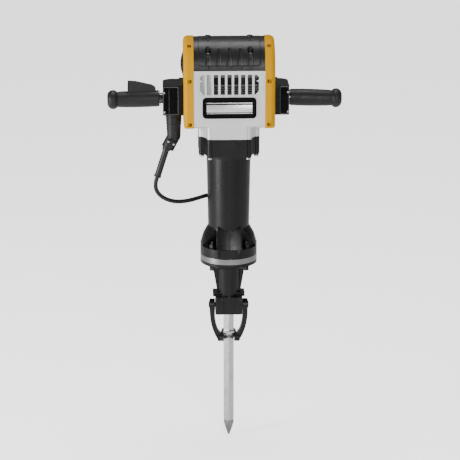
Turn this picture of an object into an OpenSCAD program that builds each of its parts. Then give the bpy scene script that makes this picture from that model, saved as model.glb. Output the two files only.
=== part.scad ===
// Heavy demolition hammer: transverse motor, crank-driven air-spring strike train,
// sprung side handles, swinging steel retainer and a pointed hexagonal steel.
// Millimetres. +Z up along the tool axis, front towards -Y.
// The origin is where the tool axis crosses the line of the two grips.

/* [Housing] */
// Width of the gear housing between its two side covers
body_w = 196; // [190:1:204]
// Radius of the motor cover, and half the depth of the housing
body_r = 82; // [80:1:86]
// Height of the motor cover's axis above the grips
cover_z = 90; // [86:1:94]
// Depth of the gear housing below the grips
body_drop = 72; // [70:1:76]
// Thickness of each side cover
side_w = 28; // [26:1:32]

/* [Barrel] */
// Half width of the barrel column at its top; it tapers by 4 mm towards the foot
barrel_r = 62; // [60:1:64]
// Radius of the lower flange and of the ring under it
flange_r = 80; // [79:1:84]
// Height of the bright ring between barrel and nose
ring_h = 16; // [12:1:20]

/* [Steel] */
// Size of the hexagonal steel across its flats
hex_af = 28.6; // [28.2:0.1:28.8]
// Length of the shank above the steel's collar
shank_l = 152; // [145:1:154]
// Length of the steel below its collar
steel_l = 307; // [200:1:450]

/* [Handles] */
// Radius of the rubber grips
grip_r = 23; // [22:0.5:24]
// Length of each grip with its end bulb
grip_l = 144; // [130:1:150]
// How far the outer ends of the grips droop, in degrees
droop = 1.5; // [0:0.5:2]

/* [Drive] */
// Throw of the crank, half the piston's stroke
crank_throw = 25; // [20:1:25]
// Teeth of the large gear on the idler shaft
idler_teeth = 60; // [60:1:60]
// Teeth of the crank gear
crank_teeth = 48; // [48:1:48]

/* [Cord] */
// Diameter of the supply cord
cord_d = 12; // [11:0.5:12.5]

/* [Hidden] */
$fn = 64;

// Levels along the tool axis
body_top = cover_z;
body_bottom = -body_drop;
collar_top = -103;
collar_bottom = -152;
flare_top = -364;
flare_mid = -391;
flare_bottom = -418;
pocket_floor = -423;
flange_bottom = -449;
ring_bottom = flange_bottom - ring_h;
nose_flange_h = 14;
nose_flange_bottom = ring_bottom - nose_flange_h;
ledge_top = -564;
ledge_bottom = -574;
nose_bottom = -625;
rim_top = -680;
seat_z = -694;
pivot_z = -605;
tip_z = seat_z - steel_l;

// Gear train: crank axis, idler and motor axis, all parallel to X
crank_z = -10;
pinion_teeth = 12;
mod_fast = 1.5;
mod_slow = 2;
fast_centres = mod_fast * (pinion_teeth + idler_teeth) / 2;
slow_centres = mod_slow * (pinion_teeth + crank_teeth) / 2;
axle_rise = 106;
idler_rise = (axle_rise ^ 2 + slow_centres ^ 2 - fast_centres ^ 2) / (2 * axle_rise);
idler_y = sqrt(slow_centres * slow_centres - idler_rise * idler_rise);
idler_z = crank_z + idler_rise;
motor_z = crank_z + axle_rise;

// Strike train
bore_r = 30;
piston_r = bore_r - 0.05;
rod_l = 95;
wrist_z = crank_z + crank_throw - rod_l;
piston_top = wrist_z + 20;
piston_h = 40;
ram_bottom = -335;
ram_h = 90;
striker_top = -346;
striker_bottom = -472.5;
striker_r = 22;

// Handles
wall = 6;
hub_x = body_w / 2 + side_w;
hub_flange_t = 12;
right_hub_out = 166;
left_hub_out = 183;
arm_pivot_x = 136;
grip_start = [193, 171];
hub_out = [left_hub_out, right_hub_out];

// Trigger
trigger_pivot = [-207, 20];

// Cord route: leaves the strain relief, loops, and joins the hank behind the barrel
relief_top = [-173, 0, -143];
relief_end = [-200, 0, -227];
hank_y = 90;
hank_z = -162;
hank_half = 90;
fold_r = 3 * cord_d;
lead_path = [
    [-200, 0, -227], [-204, 0, -240], [-205, 1, -253], [-203, 4, -266], [-196, 8, -279], [-184, 13, -291],
    [-168, 18, -300], [-149, 25, -306], [-128, 33, -308], [-107, 42, -307], [-86, 52, -304],
        [-65, 61, -300],
    [-46, 69, -299], [-29, 77, -299], [-14, 84, -300], [0, 88, -300]
];
plug_at = [-fold_r, hank_y, -290];

// ---------- Shared shapes ----------

module along_x() { rotate([90, 0, 90]) children(); }

module along_y() { rotate([90, 0, 0]) children(); }

module rod_x(r, x0, x1, y = 0, z = 0) { translate([x0, y, z]) rotate([0, 90, 0])
    cylinder(r = r, h = x1 - x0); }

module rod_y(r, y0, y1, x = 0, z = 0) { translate([x, y1, z]) rotate([90, 0, 0])
    cylinder(r = r, h = y1 - y0); }

module ring_x(r_out, r_in, x0, x1, y = 0, z = 0) {
    difference() {
        rod_x(r_out, x0, x1, y, z);
        rod_x(r_in, x0 - 1, x1 + 1, y, z);
    }
}

module box(x, y, z) { translate([x[0], y[0], z[0]]) cube([x[1] - x[0], y[1] - y[0], z[1] - z[0]]); }

module both_sides() {
    children();
    mirror([1, 0, 0]) children();
}

module both_faces() {
    children();
    mirror([0, 1, 0]) children();
}

// Rectangle with quarter-round corners of radius r
module rounded(x, y, r) {
    translate([x[0] + r, y[0]]) square([x[1] - x[0] - 2 * r, y[1] - y[0]]);
    translate([x[0], y[0] + r]) square([x[1] - x[0], y[1] - y[0] - 2 * r]);
    for (cx = [x[0] + r, x[1] - r], cy = [y[0] + r, y[1] - r]) translate([cx, cy]) circle(r);
}

// Upright slot with a round top
module arch(x, half_w, z0, z1) {
    translate([x - half_w, z0]) square([2 * half_w, z1 - z0 - half_w]);
    translate([x, z1 - half_w]) circle(half_w);
}

module hexagon(af, turn = 30) { rotate(turn) circle(r = af / sqrt(3), $fn = 6); }

module socket_screw(r, h, head_r, head_h) {
    translate([0, 0, -h]) cylinder(r = r, h = h);
    difference() {
        cylinder(r = head_r, h = head_h);
        translate([0, 0, head_h * 0.4]) linear_extrude(head_h) hexagon(head_r);
    }
}

// Involute gear outline with a 25 degree pressure angle and a little backlash
function involute(base_r, a) =
    base_r * [cos(a) + a * PI / 180 * sin(a), sin(a) - a * PI / 180 * cos(a)];
function turned(p, a) = [p[0] * cos(a) - p[1] * sin(a), p[0] * sin(a) + p[1] * cos(a)];
function roll_at(base_r, r) = sqrt(max(0, r * r / (base_r * base_r) - 1)) * 180 / PI;
function polar_of(p) = atan2(p[1], p[0]);
function gear_points(m, teeth) =
    let (pitch_r = m * teeth / 2, base_r = pitch_r * cos(25), tip_r = pitch_r + 0.9 * m,
        root_r = pitch_r - 1.2 * m,
         at_pitch = polar_of(involute(base_r, roll_at(base_r, pitch_r))),
         half_tooth = 90 / teeth - 0.09 * m / pitch_r * 180 / PI,
         first = max(root_r, base_r), undercut = root_r < base_r - 0.01, steps = teeth > 20 ? 2 : 4)
    [for (t = [0:teeth - 1]) let (mid = 360 * t / teeth)
        each concat(
            undercut ? [turned([root_r, 0], mid - half_tooth - at_pitch)] : [],
            [for (k = [0:steps]) turned(involute(base_r,
                roll_at(base_r, first + (tip_r - first) * k / steps)),
                mid - half_tooth - at_pitch)],
            [for (k = [steps:-1:0]) let (p = involute(base_r,
                roll_at(base_r, first + (tip_r - first) * k / steps)))
                turned([p[0], -p[1]], mid + half_tooth + at_pitch)],
            undercut ? [turned([root_r, 0], mid + half_tooth + at_pitch)] : [])];

module gear(m, teeth, x0, x1, phase = 0) {
    translate([x0, 0, 0]) along_x() linear_extrude(x1 - x0) rotate(phase) polygon(gear_points(m, teeth));
}

// Coil spring standing on the XY plane
module coil_spring(coil_r, wire_r, h, turns) {
    sides = 6;
    steps = 14;
    n = turns * steps;
    rings = [for (i = [0:n]) let (a = 360 * i / steps, z = wire_r + (h - 2 * wire_r) * i / n)
        [for (s = [0:sides - 1]) let (b = 360 * s / sides, r = coil_r + wire_r * cos(b))
            [r * cos(a), r * sin(a), z + wire_r * sin(b)]]];
    tube_mesh(rings);
}

// Closed tube over a list of rings
module tube_mesh(rings) {
    n = len(rings);
    s = len(rings[0]);
    polyhedron([for (r = rings) each r],
        concat(
            [[for (k = [0:s - 1]) k]],
            [for (i = [0:n - 2], k = [0:s - 1])
                [i * s + k, (i + 1) * s + k, (i + 1) * s + (k + 1) % s, i * s + (k + 1) % s]],
            [[for (k = [s - 1:-1:0]) (n - 1) * s + k]]),
        convexity = 10);
}

// Tube of radius r swept along points in space
function unit(v) = v / norm(v);
function heading(path, i) = unit(path[min(i + 1, len(path) - 1)] - path[max(i - 1, 0)]);
function side_of(d, up) = unit(cross(d, up));
module sweep(path, r, sides = 10, up = [0, 1, 0.2]) {
    rings = [for (i = [0:len(path) - 1]) let (d = heading(path, i), u = side_of(d, up), w = cross(d, u))
        [for (k = [0:sides - 1]) let (a = 360 * k / sides) path[i] + r * (cos(a) * u + sin(a) * w)]];
    tube_mesh(rings);
}

// Points of a smooth curve through a list of points
function between(p, i, t) =
    let (a = p[max(i - 1, 0)], b = p[i], c = p[i + 1], d = p[min(i + 2, len(p) - 1)])
    0.5 * (2 * b + (c - a) * t + (2 * a - 5 * b + 4 * c - d) * t * t + (3 * b - a - 3 * c + d) * t * t * t);
function smooth(p, n = 2) =
    concat([for (i = [0:len(p) - 2], k = [0:n - 1]) between(p, i, k / n)], [p[len(p) - 1]]);

// ---------- Housing ----------

// Section of the housing box, in Y and Z, with rounded lower corners
module box_section(inset, r) {
    y = body_r - inset;
    translate([-y, body_bottom + inset + r]) square([2 * y, body_top - body_bottom - inset - r]);
    translate([-y + r, body_bottom + inset]) square([2 * (y - r), 2 * r]);
    for (s = [-1, 1]) translate([s * (y - r), body_bottom + inset + r]) circle(r);
}

// Outline shared by the neck of the housing and the collar of the barrel
boss_at = [[53, 70], [76, 32]];
module collar_outline(grow = 0) {
    x = 84 + grow;
    y = 80 + grow;
    polygon([[-x, -26], [-48, -y], [48, -y], [x, -26], [x, 26], [48, y], [-48, y], [-x, 26]]);
    for (p = boss_at, sx = [-1, 1], sy = [-1, 1]) translate([sx * p[0], sy * p[1]]) circle(9 + grow);
}

slot_pitch = 18.6;
slot_w = 12.4;
slot_count = 9;
vent_low = 24;
vent_high = 80;
module vent_slots(first, last) {
    corner = 10;
    intersection() {
        for (i = [first:last]) {
            x = (i - (slot_count - 1) / 2) * slot_pitch;
            translate([x - slot_w / 2, vent_low]) square([slot_w, vent_high - vent_low]);
        }
        w = slot_pitch * (slot_count - 1) / 2 + slot_w / 2;
        tab = vent_low + 0.68 * (vent_high - vent_low);
        difference() {
            polygon([[-w, vent_low + corner], [-w + corner, vent_low], [w - corner, vent_low],
                [w, vent_low + corner],
                [w, vent_high - 6], [w - 6, vent_high], [-w + 6, vent_high], [-w, vent_high - 6]]);
            for (s = [-1, 1]) polygon([[s * (w + 1), tab - 4], [s * (w + 1), tab + 4], [s * (w - 7), tab]]);
        }
    }
}

module gear_housing() {
    color("gainsboro") difference() {
        union() {
            translate([-body_w / 2, 0, 0]) along_x() linear_extrude(body_w) box_section(0, 14);
            translate([0, 0, collar_top]) linear_extrude(body_bottom - collar_top + 10) collar_outline();
            // Raised frame round the vents
            translate([0, -body_r + 0.1, 0]) along_y() linear_extrude(1.6) difference() {
                rounded([-90, 90], [vent_low - 5, vent_high + 5], 12);
                rounded([-86, 86], [vent_low - 1.5, vent_high + 1.5], 10);
            }
        }
        translate([-body_w / 2 - 1, 0, 0]) along_x() linear_extrude(body_w + 2) translate([0, 1])
            box_section(wall, 10);
        translate([0, -body_r + 2 * wall, 0]) along_y() linear_extrude(3 * wall)
            vent_slots(2, slot_count - 1);
        translate([0, -body_r + 4, 0]) along_y() linear_extrude(2 * wall) vent_slots(0, 1);
        translate([0, body_r + wall, 0]) along_y() linear_extrude(3 * wall) vent_slots(2, slot_count - 3);
        translate([0, 0, collar_top - 1]) cylinder(r = 42, h = 60);
        at_bosses(collar_top - 1) cylinder(r = 4.1, h = 24);
        // Shallow panel step above the neck
        box([-54, 54], [-body_r - 1, -body_r + 1.2], [-52, -46]);
        rod_y(2, body_r - 6.5, body_r + 1, 0, tie_screw_z);
        for (sx = [-1, 1], z = [12, 80]) rod_y(2, body_r - 6.5, body_r + 1, sx * 84, z);
    }
}

tie_screw_z = -2;
module cover_bore(r, z0, z1, y) { for (s = [-1, 1]) translate([s * 58, y, z0])
    cylinder(r = r, h = z1 - z0); }

// Grooves of the motor cover: X, half width and top level of each
groove_at = [[-58, 4.6, 128], [-29, 4, 150], [0, 4, 152], [29, 4, 150], [58, 4.6, 128]];
groove_low = 100;
groove_deep = 1.5;
module motor_cover() {
    color("dimgray") difference() {
        union() {
            intersection() {
                rod_x(body_r, -body_w / 2, body_w / 2, 0, cover_z);
                box([-body_w, body_w], [-2 * body_r, 2 * body_r], [cover_z, cover_z + 2 * body_r]);
            }
            cover_bore(8, 150, cover_z + body_r + 4.5, -6);
        }
        difference() {
            rod_x(body_r - wall, -body_w / 2 - 1, body_w / 2 + 1, 0, cover_z);
            cover_bore(11, cover_z - 1, 200, -60);
            cover_bore(11, cover_z - 1, 200, 60);
            cover_bore(9, 152, 200, -6);
        }
        cover_bore(8.5, 131, 200, -60);
        cover_bore(8.5, 131, 200, 60);
        cover_bore(3.2, 80, 200, -60);
        cover_bore(3.2, 80, 200, 60);
        cover_bore(4.6, cover_z + body_r - 1.5, 200, -6);
        both_faces() intersection() {
            ring_x(body_r + 10, body_r - groove_deep, -body_w, body_w, 0, cover_z);
            translate([0, -40, 0]) along_y() linear_extrude(60)
                for (g = groove_at) arch(g[0], g[1], groove_low, g[2]);
        }
    }
}

// Solid of a side cover on the +X side, before it is hollowed
module side_solid(edge) {
    r = body_r + 1.5;
    x0 = body_w / 2;
    translate([x0, 0, cover_z]) rotate([0, 90, 0]) rotate_extrude($fn = 96) {
        square([r, side_w - edge]);
        square([r - edge, side_w]);
        translate([r - edge, side_w - edge]) circle(edge);
    }
    intersection() {
        translate([0, 0, body_bottom - 2]) linear_extrude(cover_z - body_bottom + 2) {
            translate([x0, -r]) square([side_w - edge, 2 * r]);
            translate([x0, -r + edge]) square([side_w, 2 * (r - edge)]);
            for (s = [-1, 1]) translate([x0 + side_w - edge, s * (r - edge)]) circle(edge);
        }
        translate([0, r + 1, 0]) along_y() linear_extrude(2 * r + 2) {
            rounded([x0 - 40, x0 + side_w], [body_bottom - 1, cover_z + 40], 10);
        }
        translate([x0 - 1, 0, 0]) along_x() linear_extrude(side_w + 2)
            rounded([-r, r], [body_bottom - 1, cover_z + 40], 14);
    }
}

pocket_z = [155, 62, -60];
// Tilt of the side covers' face at height z, and the point (Y, Z) at a depth below that face
function face_tilt(z) = z > cover_z ? asin((z - cover_z) / (body_r + 1.5)) : 0;
function under_face(z, depth) =
    let (low = min(z, cover_z), out = body_r + 1.5 - depth, a = face_tilt(z))
    [out * cos(a), low + out * sin(a)];
hub_stud_at = [[-40, -34], [40, -34], [-40, 36], [40, 36]];
module side_cover() {
    r = body_r + 1.5;
    x0 = body_w / 2;
    difference() {
        side_solid(13);
        translate([x0 - 1, 0, cover_z]) rotate([0, 90, 0]) cylinder(r = r - 7, h = side_w - 4, $fn = 96);
        box([x0 - 1, x0 + side_w - 5], [-r + 7, r - 7], [body_bottom + 6, cover_z]);
        for (z = pocket_z, s = [-1, 1]) {
            p = under_face(z, 1.4);
            translate([x0 + 6, s * p[0], p[1]]) rotate([s * face_tilt(z), 0, 0])
                translate([0, -5, -5]) cube([11, 10, 10]);
        }
        for (p = hub_stud_at) rod_x(5.1, x0 + 10, x0 + side_w + 1, p[0], p[1]);
        rod_x(15, x0 + 10, x0 + side_w + 1, 0, 0);
    }
}

module right_side_cover() { color("gold") side_cover(); }

cap_r = 34;
module left_side_cover() {
    color("gold") difference() {
        mirror([1, 0, 0]) side_cover();
        rod_x(cap_r + 0.3, -hub_x - 1, -hub_x + 12, 0, motor_z);
    }
}

module motor_end_cap() {
    rise = 7.5;
    ball_r = (cap_r * cap_r + rise * rise) / (2 * rise);
    color("black") difference() {
        union() {
            rod_x(cap_r, -hub_x - 1, -hub_x + 8, 0, motor_z);
            intersection() {
                translate([-hub_x - rise + ball_r, 0, motor_z]) sphere(ball_r, $fn = 128);
                rod_x(cap_r, -hub_x - rise - 2, -hub_x, 0, motor_z);
            }
        }
        rod_x(cap_r - 4, -hub_x + 1, -hub_x + 9, 0, motor_z);
        for (a = [0:30:330]) translate([0, 0, motor_z]) rotate([a, 0, 0])
            box([-hub_x - 20, -hub_x + 20], [-2, 2], [14, 28]);
    }
}

badge_x = 74;
badge_low = -42;
badge_high = 17;
module badge_plate() {
    front = -body_r;
    color("black") difference() {
        translate([0, front, 0]) along_y() linear_extrude(4.5)
            rounded([-badge_x, badge_x], [badge_low, badge_high], 11);
        translate([0, front - 3, 0]) along_y() linear_extrude(3)
            rounded([-badge_x + 7, badge_x - 7], [badge_low + 9, badge_high - 7], 5);
    }
}

module vent_baffle() {
    y = -body_r + wall + 5.2;
    color("black") for (i = [0:6]) translate([0, y, vent_low - 4 + i * 10]) rotate([35, 0, 0])
        translate([-62, -0.1, 0]) cube([145, 1.5, 8]);
    color("black") box([-66, -62], [y - 3, y + 6], [vent_low - 6, vent_high + 2]);
    color("black") box([83, 87], [y - 3, y + 6], [vent_low - 6, vent_high + 2]);
}

module rear_panel() {
    color("black") difference() {
        translate([0, body_r + 4, 0]) along_y() linear_extrude(4) rounded([-92, 92], [4, 88], 8);
        for (i = [0:5]) box([-60, 60], [body_r - 1, body_r + 5], [22 + i * 9, 26.5 + i * 9]);
        for (sx = [-1, 1], z = [12, 80]) rod_y(2.1, body_r - 1, body_r + 5, sx * 84, z);
    }
}

module side_cover_screws() {
    x0 = body_w / 2;
    color("dimgray") both_sides() for (z = pocket_z, s = [-1, 1]) {
        p = under_face(z, 3.3);
        rod_x(2.9, x0 + 6.1, x0 + 10, s * p[0], p[1]);
    }
}

module cover_screws() {
    color("dimgray") for (x = [-58, 58]) {
        for (y = [-60, 60]) translate([x, y, 131]) socket_screw(3, 28, 5, 5);
        translate([x, -6, cover_z + body_r - 1.5]) cylinder(r = 4.4, h = 3);
    }
    color("dimgray") for (sx = [-1, 1], z = [12, 80]) translate([sx * 84, body_r + 4, z])
        rotate([-90, 0, 0])
        socket_screw(1.9, 10, 4.5, 3);
}

// ---------- Motor and gear train ----------

plate_x = [52, 58];
module gear_plate() {
    color("silver") difference() {
        union() {
            box(plate_x, [-63, 63], [-64, 60]);
            box(plate_x, [-46, 46], [59, motor_z]);
            rod_x(46, plate_x[0], plate_x[1], 0, motor_z);
            rod_x(32, 27, plate_x[1], 0, crank_z);
        }
        rod_x(26, 26, plate_x[1] - 3, 0, crank_z);
        rod_x(13.5, 50, 60, 0, crank_z);
        rod_x(9, 50, 60, 0, motor_z);
        rod_x(16.1, 50, 56, 0, motor_z);
        rod_x(9, 50, 60, idler_y, idler_z);
    }
}

module motor_end_plate() {
    color("silver") difference() {
        rod_x(60, -97, -85, 0, motor_z);
        rod_x(16.1, -98, -88, 0, motor_z);
        rod_x(9, -98, -80, 0, motor_z);
        for (a = [0:60:300]) rod_x(10, -98, -80, 42 * cos(a), motor_z + 42 * sin(a));
    }
}

module control_module() {
    color("darkslategray") difference() {
        box([-84, -34], [36, 70], [-50, 18]);
        for (i = [0:5]) box([-90, -30], [30, 40], [-44 + i * 10, -39 + i * 10]);
    }
}

module field_core() {
    color("slategray") difference() {
        ring_x(52, 31, -44, 20, 0, motor_z);
        for (s = [-1, 1]) box([-45, 21], [s * 39 - 9, s * 39 + 9], [motor_z - 22, motor_z + 22]);
    }
}

module field_coils() {
    color("peru") for (x = [[-57, -44.5], [20.5, 33]]) ring_x(47, 33, x[0], x[1], 0, motor_z);
    color("peru") for (s = [-1, 1]) box([-44, 20], [s * 39 - 7, s * 39 + 7], [motor_z - 20, motor_z + 20]);
}

module brush_gear() {
    color("goldenrod") for (s = [-1, 1]) {
        box([-76, -64], [s > 0 ? 18.3 : -34, s > 0 ? 34 : -18.3], [motor_z - 4, motor_z + 4]);
        difference() {
            box([-79, -61], [s > 0 ? 21 : -48, s > 0 ? 48 : -21], [motor_z - 8, motor_z + 8]);
            box([-76.2, -63.8], [-55, 55], [motor_z - 4.2, motor_z + 4.2]);
        }
    }
}

module bearing(x0, x1, r_in, r_out, y, z) {
    third = (r_out - r_in) / 3;
    ring_x(r_out, r_out - third, x0, x1, y, z);
    ring_x(r_in + third, r_in, x0, x1, y, z);
    ring_x(r_out - third - 0.1, r_in + third + 0.1, x0 + 1, x1 - 1, y, z);
}

module bearings() {
    color("lightsteelblue") {
        bearing(-96.5, -88.5, 7.05, 16, 0, motor_z);
        bearing(50.5, 55.5, 7.05, 16, 0, motor_z);
        bearing(29, 54, 12.05, 25.9, 0, crank_z);
    }
}

module armature() {
    color("slategray") {
        rod_x(7, -96, 74, 0, motor_z);
        difference() {
            rod_x(30, -44, 20, 0, motor_z);
            for (a = [0:30:330]) translate([0, 0, motor_z]) rotate([a, 0, 0])
                box([-45, 21], [-2, 2], [20, 31]);
        }
        translate([0, 0, motor_z]) gear(mod_fast, pinion_teeth, 73.9, 92);
    }
}

module armature_windings() {
    color("peru") for (x = [[-58, -44.2], [20.2, 34]]) ring_x(27, 7.2, x[0], x[1], 0, motor_z);
}

module commutator() {
    color("peru") difference() {
        ring_x(18, 7.2, -78, -62, 0, motor_z);
        for (a = [0:15:345]) translate([0, 0, motor_z]) rotate([a, 0, 0])
            box([-79, -63], [-0.4, 0.4], [15.5, 19]);
    }
}

module cooling_fan() {
    color("gray") difference() {
        union() {
            ring_x(46, 7.2, 46, 48, 0, motor_z);
            ring_x(14, 7.2, 37, 48, 0, motor_z);
            for (a = [0:30:330]) translate([0, 0, motor_z]) rotate([a, 0, 0]) translate([37, -1, 13])
                rotate([12, 0, 0]) cube([10, 2, 31]);
        }
    }
}

module idler_gear() {
    color("lightsteelblue") translate([0, idler_y, idler_z]) {
        difference() {
            gear(mod_fast, idler_teeth, 78, 90,
                mesh_phase(-idler_y, motor_z - idler_z, pinion_teeth, idler_teeth));
            for (a = [30:60:330]) rod_x(9, 70, 95, 27 * cos(a), 27 * sin(a));
        }
        gear(mod_slow, pinion_teeth, 60, 78.5, 0);
        rod_x(8.9, 53, 60.5);
        rod_x(8, 90, 96);
    }
}

module crank_gear() {
    color("lightsteelblue") translate([0, 0, crank_z]) difference() {
        gear(mod_slow, crank_teeth, 60, 74, mesh_phase(idler_y, idler_rise, pinion_teeth, crank_teeth));
        rod_x(12, 59, 75);
        for (a = [30:60:330]) rod_x(8, 59, 75, 29 * cos(a), 29 * sin(a));
    }
}

// Turn of a large gear at the origin that puts a gap where a pinion at (y, z), with a tooth on +Y, meshes
function mesh_phase(y, z, small, large) =
    let (line = atan2(z, y), pinion_offset = (line + 180) % (360 / small))
    line - 180 / large + pinion_offset * small / large;

module crank_disc() {
    color("slategray") translate([0, 0, crank_z]) {
        rod_x(12, 23.9, 76);
        difference() {
            rod_x(38, 12, 24);
            rod_x(9, 11, 25, 0, crank_throw);
            for (a = [150, 180, 210]) rod_x(5, 11, 25, 28 * sin(a), 28 * cos(a) + 50);
        }
    }
}

// ---------- Strike train ----------

// Crank pin in the rod's big end and wrist pin in its small end
module rod_pins() {
    color("silver") rod_x(8.5, -11, 11.4, 0, crank_z + crank_throw);
    color("silver") rod_x(6, -24, 24, 0, wrist_z);
}

module connecting_rod() {
    top = crank_z + crank_throw;
    color("silver") difference() {
        union() {
            rod_x(16, -8, 8, 0, top);
            rod_x(12, -8, 8, 0, wrist_z);
            translate([-5, 0, 0]) along_x() linear_extrude(10)
                polygon([[-11, top], [11, top], [8, wrist_z], [-8, wrist_z]]);
        }
        rod_x(8.5, -12, 12, 0, top);
        rod_x(6, -12, 12, 0, wrist_z);
    }
}

module piston() {
    color("lightsteelblue") difference() {
        translate([0, 0, piston_top - piston_h]) cylinder(r = piston_r, h = piston_h);
        box([-9, 9], [-15, 15], [piston_top - piston_h + 5, piston_top + 1]);
        rod_x(6, -24, 24, 0, wrist_z);
        for (z = [4, 30]) translate([0, 0, piston_top - piston_h + z]) difference() {
            cylinder(r = piston_r + 1, h = 3);
            translate([0, 0, -1]) cylinder(r = piston_r - 2.5, h = 5);
        }
    }
}

module ram() {
    color("slategray") translate([0, 0, ram_bottom]) difference() {
        union() {
            cylinder(r = piston_r, h = ram_h);
            translate([0, 0, -0.001]) cylinder(r = piston_r - 4, h = 4);
        }
        for (z = [20, 74]) translate([0, 0, z]) difference() {
            cylinder(r = piston_r + 1, h = 3);
            translate([0, 0, -1]) cylinder(r = piston_r - 2.5, h = 5);
        }
        difference() {
            translate([0, 0, -1]) cylinder(r = piston_r + 1, h = 5);
            cylinder(r1 = piston_r - 4, r2 = piston_r, h = 4.001);
        }
    }
}

module striker() {
    color("slategray") {
        translate([0, 0, -440]) cylinder(r = striker_r - 0.05, h = 82);
        translate([0, 0, -359]) cylinder(r = 18, h = striker_top + 359);
        translate([0, 0, striker_bottom]) cylinder(r = 14, h = 40);
    }
}

module cylinder_sleeve() {
    color("lightsteelblue") difference() {
        translate([0, 0, -352]) cylinder(r = 35, h = 290);
        translate([0, 0, -353]) cylinder(r = bore_r, h = 292);
        for (a = [0:60:300]) rotate(a) rod_x(3, 20, 40, 0, -200);
    }
}

module striker_guide() {
    color("lightsteelblue") difference() {
        union() {
            translate([0, 0, -448]) cylinder(r = 35, h = 95);
            translate([0, 0, -476]) cylinder(r = 30, h = 30);
        }
        translate([0, 0, -445]) cylinder(r = striker_r, h = 93);
        translate([0, 0, -477]) cylinder(r = 15, h = 60);
        translate([0, 0, -477]) cylinder(r = 17.5, h = 4.5);
        translate([0, 0, -360]) cylinder(r1 = striker_r, r2 = striker_r + 4, h = 8);
    }
}

// ---------- Barrel, ring and nose ----------

// Column between two levels: two cones that meet in a soft ridge at the front and back
module column(z0, z1, r0, r1) {
    lean = 6;
    intersection() {
        translate([lean, 0, z0]) cylinder(r1 = r0 + lean, r2 = r1 + lean, h = z1 - z0, $fn = 96);
        translate([-lean, 0, z0]) cylinder(r1 = r0 + lean, r2 = r1 + lean, h = z1 - z0, $fn = 96);
    }
}

// Place of the foot's four bolts, on both X and Y
bolt_at = 47;
module at_foot_bolts(z) { for (sx = [-1, 1], sy = [-1, 1]) translate([sx * bolt_at, sy * bolt_at, z])
    children(); }

module at_bosses(z) {
    for (p = boss_at, sx = [-1, 1], sy = [-1, 1]) translate([sx * p[0], sy * p[1], z]) children();
}

// Outer shape of the flared foot, flattened front and back into sloping pads
module foot(waist_r) {
    mid_r = flange_r - 8;
    intersection() {
        union() {
            translate([0, 0, flare_mid]) cylinder(r1 = mid_r, r2 = waist_r - 1,
                h = flare_top - flare_mid, $fn = 128);
            translate([0, 0, flare_bottom])
                cylinder(r1 = flange_r, r2 = mid_r, h = flare_mid - flare_bottom + 0.01, $fn = 128);
            translate([0, 0, pocket_floor - 1])
                cylinder(r = flange_r, h = flare_bottom - pocket_floor + 1.01, $fn = 128);
        }
        translate([-100, 0, 0]) along_x() linear_extrude(200)
            polygon([[-76, pocket_floor - 2], [-60, flare_top + 1], [60, flare_top + 1],
                [76, pocket_floor - 2]]);
    }
}

module barrel_housing() {
    waist_r = barrel_r - 4;
    color("dimgray") difference() {
        union() {
            translate([0, 0, collar_bottom]) linear_extrude(collar_top - collar_bottom) collar_outline();
            at_bosses(collar_bottom - 4) cylinder(r = 7.5, h = 6);
            column(collar_bottom - 12, collar_bottom + 1, barrel_r + 3, barrel_r + 5);
            column(flare_top, collar_bottom, waist_r, barrel_r);
            column(pocket_floor - 5, flare_top + 0.01, waist_r, waist_r);
            translate([0, 0, flange_bottom]) cylinder(r = flange_r, h = pocket_floor - flange_bottom,
                $fn = 128);
            foot(waist_r);
        }
        // Triangular pockets for the flange nuts, cut in from the front and from the back
        both_sides() both_faces() translate([0, -14, 0]) along_y() linear_extrude(80)
            polygon([[36, pocket_floor], [74, pocket_floor], [74, pocket_floor + 4], [40, flare_top - 6],
                [36, flare_top - 6]]);
        translate([0, 0, flange_bottom - 1]) cylinder(r = 35.1, h = 400);
        translate([0, 0, -340]) cylinder(r = 52, h = 170);
        at_bosses(collar_bottom - 5) cylinder(r = 4.1, h = 60);
        at_foot_bolts(flange_bottom - 1) cylinder(r = 5.1, h = 40);
    }
}

module collar_bolts() {
    color("silver") at_bosses(collar_bottom - 4) rotate([180, 0, 0]) socket_screw(4, 64, 6.5, 5);
}

module spacer_ring() {
    color("silver") difference() {
        translate([0, 0, ring_bottom]) cylinder(r = flange_r, h = ring_h, $fn = 128);
        translate([0, 0, ring_bottom - 1]) cylinder(r = 36, h = ring_h + 2);
        at_foot_bolts(ring_bottom - 1) cylinder(r = 5.1, h = 40);
    }
}

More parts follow.
